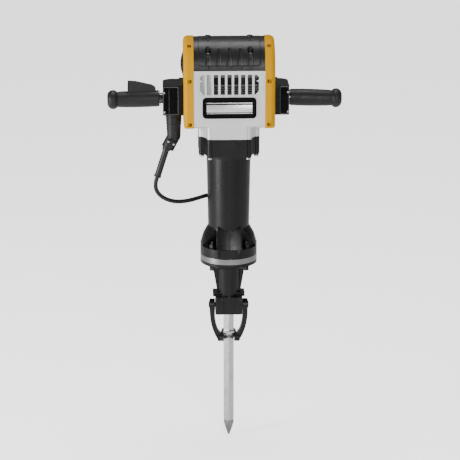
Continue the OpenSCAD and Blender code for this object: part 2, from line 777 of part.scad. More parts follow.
module nose_housing() {
    cone_h = nose_flange_bottom - ledge_top;
    color("dimgray") difference() {
        union() {
            translate([0, 0, nose_flange_bottom + 5])
                cylinder(r = flange_r, h = nose_flange_h - 5, $fn = 128);
            translate([0, 0, nose_flange_bottom]) cylinder(r1 = flange_r - 9, r2 = flange_r, h = 5.01,
                $fn = 128);
            translate([0, 0, ledge_bottom]) cylinder(r1 = 30, r2 = 34, h = cone_h + 12);
            // Side webs that taper from the flange down to the ledge
            translate([0, 9, 0]) along_y() linear_extrude(18)
                polygon([[-31, ledge_bottom], [-48, nose_flange_bottom + 6],
                [48, nose_flange_bottom + 6], [31, ledge_bottom]]);
            // Front and back keels
            intersection() {
                translate([-100, 0, ledge_bottom]) along_x() linear_extrude(200)
                    polygon([[-38, -20], [-42, 99], [42, 99], [38, -20]]);
                translate([0, 101, ledge_bottom]) along_y() linear_extrude(202)
                    polygon([[-3, -26], [3, -26], [6.5, 97], [-6.5, 97]]);
            }
            box([-45, 45], [-20, 20], [ledge_bottom - 1, ledge_top]);
            translate([0, 0, nose_bottom]) linear_extrude(ledge_bottom - nose_bottom)
                rounded([-38, 38], [-36, 36], 7);
        }
        // Recesses in the ledge each side of the keel
        both_sides() both_faces() box([12, 42], [16, 24], [ledge_bottom + 3, ledge_top - 3]);
        translate([0, 0, ring_bottom - 11]) cylinder(r = 31, h = 20);
        translate([0, 0, nose_bottom - 1]) cylinder(r = 24, h = 170);
        rod_x(6, -60, 60, 0, pivot_z);
        at_foot_bolts(nose_flange_bottom - 1) cylinder(r = 5.1, h = 40);
        box([-20, 20], [-37.5, -35], [nose_bottom - 1, nose_bottom + 34]);
        rod_x(3.05, 27, 40, 11, pivot_z);
        rod_x(3.05, -40, -27, 11, pivot_z);
    }
}

module hex_bush() {
    color("slategray") difference() {
        translate([0, 0, nose_bottom]) cylinder(r = 24, h = 149);
        translate([0, 0, nose_bottom - 1]) linear_extrude(160) hexagon(hex_af + 0.6, 30);
        translate([0, 0, nose_bottom - 0.01]) cylinder(r1 = 19, r2 = 16, h = 4);
    }
}

module flange_bolts() {
    at_foot_bolts(0) {
        color("silver") translate([0, 0, nose_flange_bottom]) {
            cylinder(r = 5, h = 75);
            translate([0, 0, -9]) linear_extrude(9) hexagon(16);
        }
        color("silver") translate([0, 0, pocket_floor]) difference() {
            union() {
                cylinder(r = 9, h = 2);
                translate([0, 0, 2]) linear_extrude(9) hexagon(16);
            }
            translate([0, 0, -1]) cylinder(r = 5.1, h = 20);
        }
    }
}

// ---------- Retainer and steel ----------

arm_in = 39.5;
arm_out = 54;
fork_top = seat_z - 0.3;
fork_h = 13;
fork_bottom = fork_top - fork_h;
// One arm, on the +X side: an eye on the pivot and a strap that curves in beside the collar to a toe under it
module retainer_arm() {
    difference() {
        union() {
            rod_x(17, arm_in, arm_out, 0, pivot_z);
            rod_x(12, arm_in, arm_out + 1.5, 0, pivot_z);
            intersection() {
                translate([0, 40, 0]) along_y() linear_extrude(80)
                    polygon([[arm_in, pivot_z], [arm_out, pivot_z],
                    [arm_out, -630], [52.5, -645], [50.5, -658], [47.5, -670], [44, -681], [40, -691],
                        [35.5, -700],
                    [30, fork_bottom], [21, fork_bottom], [21, fork_top], [24, fork_top + 3],
                        [25.5, -687], [29, -683],
                    [32, -677], [34.5, -669], [37, -659], [38.8, -648], [arm_in, -636]]);
                along_x() linear_extrude(80) polygon([[-16, pivot_z], [16, pivot_z], [14, -640], [12, -680],
                    [13, fork_bottom - 1], [-13, fork_bottom - 1], [-12, -680], [-14, -640]]);
            }
            // Toe at the front end of the prong
            translate([26, -13, fork_bottom - 3]) cylinder(r = 5, h = 10);
        }
        rod_x(6.05, arm_in - 1, arm_out + 10, 0, pivot_z);
    }
}

module retainer() {
    color("dimgray") {
        both_sides() retainer_arm();
        // Fork plate round the back of the steel
        translate([0, 0, fork_bottom]) linear_extrude(fork_h) difference() {
            union() {
                circle(32);
                translate([-32, -18]) square([64, 18]);
            }
            circle(17.5);
            translate([-15.2, -40]) square([30.4, 40]);
        }
    }
}

module retainer_bolts() {
    color("silver") both_sides() {
        rod_x(5.95, 28, arm_out + 1.6, 0, pivot_z);
        rod_x(8, arm_out + 1.6, arm_out + 3, 0, pivot_z);
    }
    // Detent plungers in the nose that press on the eyes
    color("silver") both_sides() rod_x(3, 28, arm_in - 0.3, 11, pivot_z);
}

module steel() {
    flat_r = hex_af / 2;
    corner_r = hex_af / sqrt(3);
    top = rim_top + shank_l;
    color("lightgray") {
        intersection() {
            translate([0, 0, tip_z]) linear_extrude(top - tip_z) hexagon(hex_af, 30);
            union() {
                translate([0, 0, tip_z + 47]) cylinder(r = corner_r + 1, h = top - tip_z - 49);
                translate([0, 0, top - 2.01]) cylinder(r1 = corner_r, r2 = corner_r - 3, h = 2);
                // Four-sided point
                intersection() {
                    translate([-30, 0, 0]) along_x() linear_extrude(60)
                        polygon([[-2.2, tip_z], [2.2, tip_z], [19, tip_z + 47.5], [-19, tip_z + 47.5]]);
                    translate([0, 30, 0]) along_y() linear_extrude(60)
                        polygon([[-2.2, tip_z], [2.2, tip_z], [flat_r + 2, tip_z + 47.5],
                            [-flat_r - 2, tip_z + 47.5]]);
                }
            }
        }
        rotate_extrude($fn = 96) polygon([[0, seat_z], [15, seat_z], [17, seat_z + 2.5], [19.5, seat_z + 5],
            [20.5, seat_z + 7], [21, seat_z + 8.5], [21, rim_top - 1.5], [19.5, rim_top], [0, rim_top]]);
    }
}

// ---------- Handles ----------

// Plan of a hub's block: square at the front, well rounded at the back
module hub_plan(out) {
    front = 50;
    corner = 28;
    translate([hub_x, -front]) square([out - hub_x, 2 * front - corner]);
    translate([hub_x, -front]) square([out - hub_x - corner, 2 * front]);
    intersection() {
        translate([out - corner, front - corner]) circle(corner);
        translate([hub_x, 0]) square(100);
    }
}

hub_low = -40;
hub_high = 43;
hub_front = -50;
// Hub on the +X side: a flange against the side cover and a hollow block for the sprung arm
module hub(out) {
    difference() {
        union() {
            translate([hub_x, 0, 0]) along_x() linear_extrude(hub_flange_t)
                rounded([-52, 52], [hub_low, 47], 8);
            translate([0, 0, hub_low]) linear_extrude(hub_high - hub_low) hub_plan(out);
        }
        box([hub_x + 3, out - 5], [-33, 33], [-34.5, 34.5]);
        rod_x(19, out - 10, out + 5);
        rod_y(6, -40, 40, arm_pivot_x, 0);
        box([hub_x + hub_flange_t + 4, out - 3], [hub_front - 1, hub_front + 2],
            [hub_low + 4, hub_high - 5]);
        for (p = hub_stud_at) rod_x(5, hub_x - 1, hub_x + 8, p[0], p[1]);
    }
}

boot_x = -153;
module left_hub() {
    color("black") difference() {
        mirror([1, 0, 0]) hub(left_hub_out);
        translate([boot_x, 0, -46]) cylinder(r = 12, h = 14);
    }
}

module right_hub() { color("black") hub(right_hub_out); }

// Glossy front plates of both hubs
module hub_plates() {
    for (i = [0, 1]) mirror([1 - i, 0, 0]) {
        x = [hub_x + hub_flange_t + 4.3, hub_out[i] - 3.3];
        color("black") box(x, [hub_front + 0.5, hub_front + 2], [hub_low + 4.3, hub_high - 5.3]);
    }
}

// Studs from the hubs into the side covers, and the pivot pins of the handle arms
module hub_studs() {
    color("silver") both_sides() {
        for (p = hub_stud_at) rod_x(4.9, hub_x - 18, hub_x + 7.5, p[0], p[1]);
        rod_y(5.95, -39.5, 39.5, arm_pivot_x, 0);
    }
}

spring_x = 151;
module hub_springs() {
    low = 15.1;
    high = 34.4;
    color("silver") for (s = [-1, 1]) translate([spring_x, s * 15, 0]) {
        translate([0, 0, low]) coil_spring(7, 1.5, high - low, 4);
        mirror([0, 0, 1]) translate([0, 0, low]) coil_spring(7, 1.5, high - low, 4);
    }
}

module left_hub_springs() { mirror([1, 0, 0]) hub_springs(); }

module right_hub_springs() { hub_springs(); }

// Handle arm on the +X side: root block on the pivot, neck, and a hollow core inside the grip
module arm(start) {
    difference() {
        union() {
            box([hub_x + 4.5, 160], [-28, 28], [-15, 15]);
            drooped() {
                rod_x(15, 158, start + 2);
                rod_x(21, start - 3, start - 1);
                rod_x(17.9, start, start + grip_l - 22);
            }
        }
        rod_y(6.05, -40, 40, arm_pivot_x, 0);
        drooped() {
            rod_x(13.5, start + 4, start + grip_l - 16);
            rod_x(6, 150, start + 10);
        }
    }
}

module drooped() {
    translate([arm_pivot_x, 0, 0]) rotate([0, droop, 0]) translate([-arm_pivot_x, 0, 0]) children();
}

// Slot that the trigger moves in, through the grip and the core
module trigger_slot(grow) { box([-284 - grow, -200 + grow], [-10.5 - grow, 10.5 + grow], [4, 40]); }

module left_arm() {
    color("dimgray") difference() {
        mirror([1, 0, 0]) arm(grip_start[0]);
        trigger_slot(0);
        rod_y(2.5, -16.4, 16.4, trigger_pivot[0], trigger_pivot[1] - 8);
    }
}

module right_arm() { color("dimgray") arm(grip_start[1]); }

module grip(start) {
    difference() {
        translate([start, 0, 0]) rotate([0, 90, 0]) rotate_extrude($fn = 72) polygon(grip_profile());
        rod_x(18, start - 1, start + grip_l - 21);
    }
}

// Half outline of a grip: a slightly barrelled body and an end bulb
function grip_profile() = concat(
    [[0, 0], [grip_r - 1.5, 0], [grip_r, 1.5]],
    [for (t = [0.1:0.1:1]) [grip_r + 1.1 * sin(180 * t) - 0.7 * t, 1.5 + (grip_l - 38) * t]],
    [for (a = [-50:10:80]) [10.5 + 16.3 * cos(a), grip_l - 16 + 16 * sin(a)]],
    [[0, grip_l]]);

module left_grip() {
    color("black") difference() {
        mirror([1, 0, 0]) drooped() grip(grip_start[0]);
        trigger_slot(0.8);
        rod_y(3, -13, 13, trigger_pivot[0], trigger_pivot[1] - 8);
    }
}

module right_grip() { color("black") drooped() grip(grip_start[1]); }

module trigger() {
    color("black") difference() {
        translate([0, 9.5, 0]) along_y() linear_extrude(19) {
            polygon([[-280, 46], [-277, 47.5], [-258, 46], [-214, 36], [-205, 31], [-202, 26],
                [-203, 8], [-214, 8],
                [-216, 15], [-272, 14], [-273, 6], [-278, 6], [-281, 10]]);
        }
        rod_y(2.55, -12, 12, trigger_pivot[0], trigger_pivot[1] - 8);
    }
    color("silver") rod_y(2.45, -12.8, 12.8, trigger_pivot[0], trigger_pivot[1] - 8);
}

module trigger_spring() { color("silver") translate([-258, 0, -16]) coil_spring(4.5, 0.9, 29.6, 6); }

module trigger_switch() {
    color("dimgray") difference() {
        box([-243, -215], [-7.5, 7.5], [-12, 3]);
        translate([-222, 0, -6]) cylinder(r = 2.6, h = 12);
    }
}

module switch_plunger() { color("ivory") translate([-222, 0, -2]) cylinder(r = 2.5, h = 16.4); }

// ---------- Cord ----------

module cord_boot() {
    bend_z = -110;
    lean = 28;
    r = 21;
    color("black") difference() {
        union() {
            translate([boot_x, 0, bend_z]) cylinder(r1 = r - 2, r2 = r + 1, h = hub_low - bend_z);
            translate([boot_x, 0, bend_z]) sphere(r - 2.3);
            translate([boot_x, 0, bend_z]) rotate([0, 180 + lean, 0]) cylinder(r = r - 2.8, h = 38);
            // Cord clamp across the bend
            translate([boot_x, -r - 2, bend_z]) rotate([0, lean, 0]) translate([-12, 0, -22])
                cube([24, 10, 12]);
        }
        translate([boot_x, 0, -100]) cylinder(r = 12, h = 70);
        translate([boot_x, 0, bend_z]) rotate([0, 180 + lean, 0]) translate([0, 0, 10])
            cylinder(r = 12, h = 40);
    }
    color("silver") translate([boot_x, -r - 2, bend_z]) rotate([0, lean, 0]) for (x = [-8, 8])
        translate([x, 0, -16]) rotate([90, 0, 0]) cylinder(r = 2.6, h = 2);
}

module strain_relief() {
    run = relief_end - relief_top;
    tilt = atan2(-run[0], -run[2]);
    color("dimgray") translate(relief_top) rotate([0, 180 + tilt, 0]) difference() {
        union() {
            cylinder(r = 11.5, h = 7);
            cylinder(r = 9.2, h = norm(run));
            translate([0, 0, norm(run) - 4]) cylinder(r = 10.5, h = 4);
        }
        translate([0, 0, -1]) cylinder(r = 5.9, h = norm(run) - 2);
    }
}

module cord_lead() { color("black") sweep(smooth(lead_path, 2), cord_d / 2, 8); }

// Closed solid round the four turns of the hank
module cord_hank() {
    color("black") translate([0, hank_y + 1.5 * cord_d, 0]) along_y() linear_extrude(2 * cord_d)
        difference() {
        union() {
            translate([-fold_r - 1.5 * cord_d, hank_z - hank_half])
                square([2 * fold_r + 3 * cord_d, 2 * hank_half]);
            for (s = [-1, 1]) translate([0, hank_z + s * hank_half]) circle(fold_r + 1.5 * cord_d);
        }
        translate([-fold_r + 0.5 * cord_d, hank_z - hank_half])
            square([2 * fold_r - cord_d, 2 * hank_half]);
        for (s = [-1, 1]) translate([0, hank_z + s * hank_half]) circle(fold_r - 0.5 * cord_d);
    }
}

// Strap that hangs the hank from a screw in the housing, and a second strap round its runs
module cord_tie() {
    y = [body_r + 0.05, hank_y + 20];
    top = hank_z + hank_half + fold_r + 1.5 * cord_d;
    color("dimgray") difference() {
        union() {
            box([-11, 11], y, [top - 26.2, top + 2]);
            box([-9, 9], [y[0], y[0] + 1.6], [top, tie_screw_z + 5.5]);
        }
        box([-12, 12], [y[0] + 1.6, y[1] - 1.6], [top - 24.3, top + 0.3]);
        rod_y(2.1, y[0] - 1, y[0] + 3, 0, tie_screw_z);
    }
    color("silver") translate([0, y[0] + 1.6, tie_screw_z]) rotate([-90, 0, 0]) socket_screw(1.9, 7, 5, 3);
    x = fold_r + 1.5 * cord_d + 0.3;
    color("dimgray") translate([0, 0, hank_z - 40]) linear_extrude(22) difference() {
        rounded([-x - 1.6, x + 1.6], [y[0] + 0.05, y[1]], 6);
        rounded([-x, x], [y[0] + 1.65, y[1] - 1.6], 4.4);
    }
}

module plug() {
    color("black") translate(plug_at) {
        translate([0, 0, -30]) cylinder(r1 = 11, r2 = 7.5, h = 30);
        translate([0, 0, -66]) linear_extrude(38) rounded([-13, 13], [-13, 13], 7);
    }
    color("gold") translate([plug_at[0], plug_at[1], plug_at[2] - 66]) {
        for (s = [-1, 1]) translate([s * 6.35 - 0.75, -7, -17]) cube([1.5, 6.4, 18]);
        translate([0, 6, -19]) cylinder(r = 2.4, h = 20);
    }
}

gear_housing();
motor_cover();
left_side_cover();
right_side_cover();
motor_end_cap();
badge_plate();
vent_baffle();
rear_panel();
side_cover_screws();
cover_screws();
gear_plate();
motor_end_plate();
control_module();
field_core();
field_coils();
brush_gear();
bearings();
armature();
armature_windings();
commutator();
cooling_fan();
idler_gear();
crank_gear();
crank_disc();
rod_pins();
connecting_rod();
piston();
ram();
striker();
barrel_housing();
collar_bolts();
cylinder_sleeve();
striker_guide();
spacer_ring();
nose_housing();
flange_bolts();
hex_bush();
retainer();
retainer_bolts();
steel();
left_hub();
right_hub();
hub_plates();
hub_studs();
left_hub_springs();
right_hub_springs();
left_arm();
right_arm();
left_grip();
right_grip();
trigger();
trigger_spring();
trigger_switch();
switch_plunger();
cord_boot();
strain_relief();
cord_lead();
cord_hank();
cord_tie();
plug();
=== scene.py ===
import math

import bpy
import bmesh
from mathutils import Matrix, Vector


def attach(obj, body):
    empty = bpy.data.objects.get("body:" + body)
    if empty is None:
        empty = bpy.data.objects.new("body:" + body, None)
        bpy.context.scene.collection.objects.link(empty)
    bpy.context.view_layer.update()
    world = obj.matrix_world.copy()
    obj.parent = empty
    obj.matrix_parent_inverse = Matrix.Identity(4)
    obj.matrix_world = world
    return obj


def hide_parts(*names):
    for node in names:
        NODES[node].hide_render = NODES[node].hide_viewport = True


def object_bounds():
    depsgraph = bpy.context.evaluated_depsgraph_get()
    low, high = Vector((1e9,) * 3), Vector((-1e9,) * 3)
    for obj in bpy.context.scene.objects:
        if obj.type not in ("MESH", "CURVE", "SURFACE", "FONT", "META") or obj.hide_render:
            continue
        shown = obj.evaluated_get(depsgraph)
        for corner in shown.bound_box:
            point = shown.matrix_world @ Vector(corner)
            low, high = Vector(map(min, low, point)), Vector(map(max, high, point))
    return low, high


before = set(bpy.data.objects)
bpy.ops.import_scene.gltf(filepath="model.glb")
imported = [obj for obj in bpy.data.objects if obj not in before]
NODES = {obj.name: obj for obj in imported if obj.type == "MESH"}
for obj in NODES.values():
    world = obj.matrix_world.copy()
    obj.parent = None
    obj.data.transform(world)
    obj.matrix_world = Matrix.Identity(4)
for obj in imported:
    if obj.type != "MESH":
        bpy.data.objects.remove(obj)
CAD_BOX = [list(corner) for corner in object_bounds()]
MM = 0.001

# ---------- Camera ----------

# The point looked at and the distance in metres, the angles in degrees, the lens and sensor in millimetres
CAMERA_TARGET = Vector((0.004, 0.0, -0.3846))
CAMERA_DISTANCE = 6.0
CAMERA_ELEVATION = 16.0
CAMERA_AZIMUTH = -2.0
CAMERA_LENS = 165.9
CAMERA_SENSOR = 36.0
CAMERA_REACH = 40.0


def make_camera():
    data = bpy.data.cameras.new("camera")
    data.sensor_width = CAMERA_SENSOR
    data.lens = CAMERA_LENS
    data.clip_end = CAMERA_REACH
    camera = bpy.data.objects.new("camera", data)
    bpy.context.scene.collection.objects.link(camera)
    a = math.radians(CAMERA_AZIMUTH)
    e = math.radians(CAMERA_ELEVATION)
    back = Vector((math.sin(a) * math.cos(e), -math.cos(a) * math.cos(e), math.sin(e)))
    camera.location = CAMERA_TARGET + CAMERA_DISTANCE * back
    camera.rotation_mode = "QUATERNION"
    camera.rotation_quaternion = (-back).to_track_quat("-Z", "Y")
    bpy.context.scene.camera = camera


make_camera()

# ---------- Mesh helpers ----------


def link(obj):
    bpy.context.scene.collection.objects.link(obj)
    return obj


def mesh_object(name, verts, faces, smooth=True):
    mesh = bpy.data.meshes.new(name)
    mesh.from_pydata([tuple(v) for v in verts], [], faces)
    mesh.update()
    bm = bmesh.new()
    bm.from_mesh(mesh)
    bmesh.ops.recalc_face_normals(bm, faces=bm.faces)
    bm.to_mesh(mesh)
    bm.free()
    for face in mesh.polygons:
        face.use_smooth = smooth
    return link(bpy.data.objects.new(name, mesh))


def lofted(rings, closed_ends=True):
    """Vertices and faces of a tube through rings that all have the same number of points."""
    count = len(rings[0])
    verts = [point for ring in rings for point in ring]
    faces = []
    for i in range(len(rings) - 1):
        for k in range(count):
            n = (k + 1) % count
            faces.append((i * count + k, i * count + n, (i + 1) * count + n, (i + 1) * count + k))
    if closed_ends:
        faces.append(tuple(range(count - 1, -1, -1)))
        faces.append(tuple((len(rings) - 1) * count + k for k in range(count)))
    return verts, faces


# Distance within which points are merged, and the angles in degrees of a flat joint and of a sharp edge
WELD_REACH = 1e-5
FLAT_ANGLE = 0.4
SHARP_ANGLE = 35


def bevelled(obj, width):
    """Rounds an object's sharp edges with modifiers, and leaves its mesh as it is."""
    weld = obj.modifiers.new("weld", "WELD")
    weld.merge_threshold = WELD_REACH
    flat = obj.modifiers.new("flat", "DECIMATE")
    flat.decimate_type = "DISSOLVE"
    flat.angle_limit = math.radians(FLAT_ANGLE)
    bevel = obj.modifiers.new("bevel", "BEVEL")
    bevel.width = width
    bevel.segments = 2
    bevel.limit_method = "ANGLE"
    bevel.angle_limit = math.radians(SHARP_ANGLE)
    normals = obj.modifiers.new("normals", "WEIGHTED_NORMAL")
    normals.weight = 100
    normals.keep_sharp = True
    for face in obj.data.polygons:
        face.use_smooth = True


# ---------- Cord ----------

CORD_D = 0.012
# Route from the strain relief to the lowest point of the hank, in millimetres
LEAD_PATH_MM = [
    (-200, 0, -227), (-204, 0, -240), (-205, 1, -253), (-203, 4, -266), (-196, 8, -279),
    (-184, 13, -291), (-168, 18, -300), (-149, 25, -306), (-128, 33, -308), (-107, 42, -307),
    (-86, 52, -304), (-65, 61, -300), (-46, 69, -299), (-29, 77, -299), (-14, 84, -300), (0, 88, -300),
]
HANK_CENTRE = Vector((0, 0.090, -0.162))
HANK_HALF = 0.090
# Radius and depth of each turn
HANK_TURNS = [(0.048, 0.0), (0.048, 0.012), (0.036, 0.012), (0.036, 0.0)]
# Points of a turn, and the shares of it at which it starts to move over to the next and takes to do so
HANK_STEPS = 40
SHIFT_FROM = 0.55
SHIFT_OVER = 0.4
# Levels, from the hank's centre, of the cord's last points down to the plug
TAIL_LEVELS = (-0.093, -0.106, -0.118, -0.128, -0.134)


def smooth_step(t):
    t = min(max(t, 0.0), 1.0)
    return t * t * (3 - 2 * t)


def hank_points():
    """The folded turns of spare cord, from the middle of the lower fold up the right-hand run."""
    points = []
    for turn, (radius, depth) in enumerate(HANK_TURNS):
        last = turn == len(HANK_TURNS) - 1
        following = HANK_TURNS[turn] if last else HANK_TURNS[turn + 1]
        straight = 2 * HANK_HALF
        for k in range(HANK_STEPS):
            t = k / HANK_STEPS
            shift = smooth_step((t - SHIFT_FROM) / SHIFT_OVER)
            r = radius + (following[0] - radius) * shift
            y = depth + (following[1] - depth) * shift
            total = 2 * math.pi * r + 2 * straight
            along = t * total
            quarter = math.pi * r / 2
            if along < quarter:
                a = along / r
                x, z = r * math.sin(a), -HANK_HALF - r * math.cos(a)
            elif along < quarter + straight:
                x, z = r, -HANK_HALF + along - quarter
            elif along < 3 * quarter + straight:
                a = (along - quarter - straight) / r
                x, z = r * math.cos(a), HANK_HALF + r * math.sin(a)
            elif along < 3 * quarter + 2 * straight:
                x, z = -r, HANK_HALF - (along - 3 * quarter - straight)
            elif last:
                break
            else:
                a = (along - 3 * quarter - 2 * straight) / r
                x, z = -r * math.cos(a), -HANK_HALF - r * math.sin(a)
            points.append(HANK_CENTRE + Vector((x, y, z)))
    return points


def cord_points():
    lead = [Vector(p) * MM for p in LEAD_PATH_MM]
    tail = [HANK_CENTRE + Vector((-HANK_TURNS[-1][0], 0, z)) for z in TAIL_LEVELS]
    return lead[:-1] + hank_points() + tail


def curve_object(name, points, radius):
    data = bpy.data.curves.new(name, "CURVE")
    data.dimensions = "3D"
    data.bevel_depth = radius
    data.bevel_resolution = 5
    data.resolution_u = 6
    data.use_fill_caps = True
    spline = data.splines.new("BEZIER")
    spline.bezier_points.add(len(points) - 1)
    for i, point in enumerate(points):
        before = points[max(i - 1, 0)]
        after = points[min(i + 1, len(points) - 1)]
        b = spline.bezier_points[i]
        b.co = point
        heading = (after - before).normalized()
        b.handle_left = point - heading * (point - before).length / 3
        b.handle_right = point + heading * (after - point).length / 3
    return link(bpy.data.objects.new(name, data))


cord = curve_object("supply_cord", cord_points(), CORD_D / 2)

# ---------- Materials ----------


class Shader:
    """A procedural material under construction."""

    def __init__(self, name, color, roughness, metallic=0.0, specular=0.5):
        self.material = bpy.data.materials.new(name)
        self.material.use_nodes = True
        self.nodes = self.material.node_tree.nodes
        self.links = self.material.node_tree.links
        self.bsdf = self.nodes["Principled BSDF"]
        self.bsdf.inputs["Base Color"].default_value = (*color, 1)
        self.bsdf.inputs["Roughness"].default_value = roughness
        self.bsdf.inputs["Metallic"].default_value = metallic
        self.bsdf.inputs["Specular IOR Level"].default_value = specular
        self.roughness = roughness
        self.place = self.nodes.new("ShaderNodeTexCoord").outputs["Object"]
        self.height = None

    def stretched(self, scale):
        mapping = self.nodes.new("ShaderNodeMapping")
        mapping.inputs["Scale"].default_value = scale
        self.links.new(self.place, mapping.inputs["Vector"])
        return mapping.outputs["Vector"]

    def noise(self, scale, detail=4.0, rough=0.55, stretch=(1, 1, 1)):
        node = self.nodes.new("ShaderNodeTexNoise")
        node.inputs["Scale"].default_value = scale
        node.inputs["Detail"].default_value = detail
        node.inputs["Roughness"].default_value = rough
        self.links.new(self.stretched(stretch), node.inputs["Vector"])
        return node.outputs["Fac"]

    def cells(self, scale):
        node = self.nodes.new("ShaderNodeTexVoronoi")
        node.inputs["Scale"].default_value = scale
        self.links.new(self.place, node.inputs["Vector"])
        return node.outputs["Distance"]

    def between(self, value, low, high, out_low=0.0, out_high=1.0):
        node = self.nodes.new("ShaderNodeMapRange")
        limits = {"From Min": low, "From Max": high, "To Min": out_low, "To Max": out_high}
        for key, number in limits.items():
            node.inputs[key].default_value = number
        self.links.new(value, node.inputs["Value"])
        return node.outputs["Result"]

    def tint(self, factor, other):
        """Mixes the colour so far towards another one where factor is high."""
        mix = self.nodes.new("ShaderNodeMix")
        mix.data_type = "RGBA"
        socket = self.bsdf.inputs["Base Color"]
        if socket.is_linked:
            self.links.new(socket.links[0].from_socket, mix.inputs["A"])
        else:
            mix.inputs["A"].default_value = socket.default_value[:]
        mix.inputs["B"].default_value = (*other, 1)
        self.links.new(factor, mix.inputs["Factor"])
        self.links.new(mix.outputs["Result"], socket)
        return self

    def rough(self, value, spread):
        low, high = self.roughness - spread, self.roughness + spread
        self.links.new(self.between(value, 0.3, 0.7, low, high), self.bsdf.inputs["Roughness"])
        return self

    def bump(self, value, distance):
        node = self.nodes.new("ShaderNodeBump")
        node.inputs["Distance"].default_value = distance
        node.inputs["Strength"].default_value = 1.0
        self.links.new(value, node.inputs["Height"])
        if self.height is not None:
            self.links.new(self.height, node.inputs["Normal"])
        self.height = node.outputs["Normal"]
        self.links.new(self.height, self.bsdf.inputs["Normal"])
        return self


def shade(color, amount):
    return tuple(min(1.0, c * amount) for c in color)


def painted_casting(name, color, roughness, metallic=0.0, grain=0.00012, specular=0.5):
    """Paint over a casting: orange peel, a little speckle, and broad tone changes."""
    s = Shader(name, color, roughness, metallic=metallic, specular=specular)
    s.tint(s.between(s.noise(9, 3), 0.35, 0.7, 0.0, 0.5), shade(color, 0.86))
    s.tint(s.between(s.noise(1500, 2), 0.55, 0.75, 0.0, 0.35), shade(color, 1.35))
    s.rough(s.noise(30, 4), 0.07)
    s.bump(s.noise(420, 3), grain)
    s.bump(s.noise(2600, 2), grain * 0.35)
    return s.material


def moulded(name, color, roughness, grain=0.00005, specular=0.5):
    """Moulded plastic with a fine spark-eroded grain."""
    s = Shader(name, color, roughness, specular=specular)
    s.tint(s.between(s.noise(14, 3), 0.35, 0.7, 0.0, 0.5), shade(color, 0.88))
    s.tint(s.between(s.noise(900, 3), 0.55, 0.8, 0.0, 0.3), shade(color, 1.25))
    s.rough(s.noise(60, 4), 0.06)
    s.bump(s.noise(2200, 2), grain)
    return s.material


def metal(name, color, roughness, stretch=(1, 1, 1), scale=600, depth=0.00002):
    """Machined or brushed metal with its tool marks along one direction."""
    s = Shader(name, color, roughness, metallic=1.0)
    marks = s.noise(scale, 4, 0.6, stretch)
    s.tint(s.between(marks, 0.35, 0.7, 0.0, 0.55), shade(color, 0.72))
    s.tint(s.between(s.noise(25, 3), 0.4, 0.7, 0.0, 0.4), shade(color, 0.85))
    s.rough(marks, 0.09)
    s.bump(marks, depth)
    return s.material


# Half of the height over which the bar turns into its darker point
POINT_BLEND = 0.0015


def forged(name, color, roughness, metallic, point_z):
    """Forged bar: rolled flats with pitting and dull patches, and a darker point below a height."""
    s = Shader(name, color, roughness, metallic=metallic)
    split = s.nodes.new("ShaderNodeSeparateXYZ")
    s.links.new(s.place, split.inputs["Vector"])
    below = s.between(split.outputs["Z"], point_z - POINT_BLEND, point_z + POINT_BLEND, 1.0, 0.0)
    s.tint(below, shade(color, 0.42))
    s.tint(s.between(s.noise(55, 5, 0.65, (1, 1, 0.35)), 0.45, 0.7, 0.0, 0.6), shade(color, 0.66))
    s.tint(s.between(s.noise(420, 4, 0.7), 0.58, 0.72, 0.0, 0.7), shade(color, 0.5))
    s.rough(s.noise(90, 5), 0.1)
    s.bump(s.noise(160, 5, 0.65, (1, 1, 0.5)), 0.0004)
    s.bump(s.noise(1300, 3), 0.00008)
    return s.material


def rubber(name, color, roughness, grain=0.00008, specular=0.5):
    """Rubber with a fine pebbled skin."""
    s = Shader(name, color, roughness, specular=specular)
    s.bsdf.inputs["Sheen Weight"].default_value = 0.03
    s.tint(s.between(s.noise(22, 4), 0.35, 0.7, 0.0, 0.5), shade(color, 0.8))
    s.tint(s.between(s.noise(1300, 2), 0.6, 0.8, 0.0, 0.3), shade(color, 1.5))
    s.rough(s.noise(45, 4), 0.08)
    s.bump(s.cells(1500), grain)
    return s.material


SILVER = painted_casting("silver_paint", (0.62, 0.625, 0.635), 0.38, metallic=0.45)
# Darker copy of the silver paint for the blind slots' floors: painted shade in those recesses
SILVER_PAINTED_SHADE = painted_casting("silver_paint_painted_shade", (0.26, 0.262, 0.268), 0.42, metallic=0.45)
YELLOW = moulded("yellow_plastic", (0.56, 0.268, 0.0), 0.42, specular=0.03)
COVER = moulded("cover_plastic", (0.011, 0.0107, 0.0114), 0.36, grain=0.00007, specular=0.3)
BLACK = moulded("black_plastic", (0.004, 0.004, 0.0045), 0.36, specular=0.14)
GLOSS = moulded("gloss_plastic", (0.002, 0.002, 0.0022), 0.16, grain=0.00001, specular=0.10)
BARREL = painted_casting("black_paint", (0.0045, 0.0045, 0.0048), 0.32, specular=0.24)
NOSE = painted_casting("black_iron", (0.005, 0.005, 0.0052), 0.34, grain=0.0001, specular=0.24)
FORGING = painted_casting("black_forging", (0.006, 0.006, 0.0062), 0.34, grain=0.00012, specular=0.26)
RING = metal("turned_ring", (0.24, 0.24, 0.245), 0.28, stretch=(1, 1, 40), scale=120)
STEEL_POINT = Vector((0, 0, -0.954))
BAR = forged("hex_steel", (0.56, 0.56, 0.55), 0.26, 0.95,
             (NODES["steel"].matrix_world.inverted() @ STEEL_POINT).z)
MACHINED = metal("machined_steel", (0.46, 0.47, 0.49), 0.28, stretch=(20, 1, 1), scale=160)
ZINC = metal("zinc_plate", (0.42, 0.41, 0.40), 0.34, scale=900)
CASTING = painted_casting("bare_casting", (0.42, 0.42, 0.43), 0.45, metallic=0.8, grain=0.0003)
LAMINATION = metal("laminations", (0.10, 0.10, 0.11), 0.4, stretch=(60, 1, 1), scale=60)
COPPER = metal("winding_copper", (0.52, 0.20, 0.08), 0.36, stretch=(1, 25, 1), scale=120, depth=0.0002)
# Lighter grey for the hub rims and seam: painted edge highlights on the black hubs
HIGHLIGHT_GREY_PLASTIC = moulded("painted_highlight_plastic", (0.030, 0.030, 0.032), 0.30, specular=0.5)
LABEL = metal("label_foil", (0.72, 0.72, 0.73), 0.38, stretch=(1, 1, 20), scale=300)
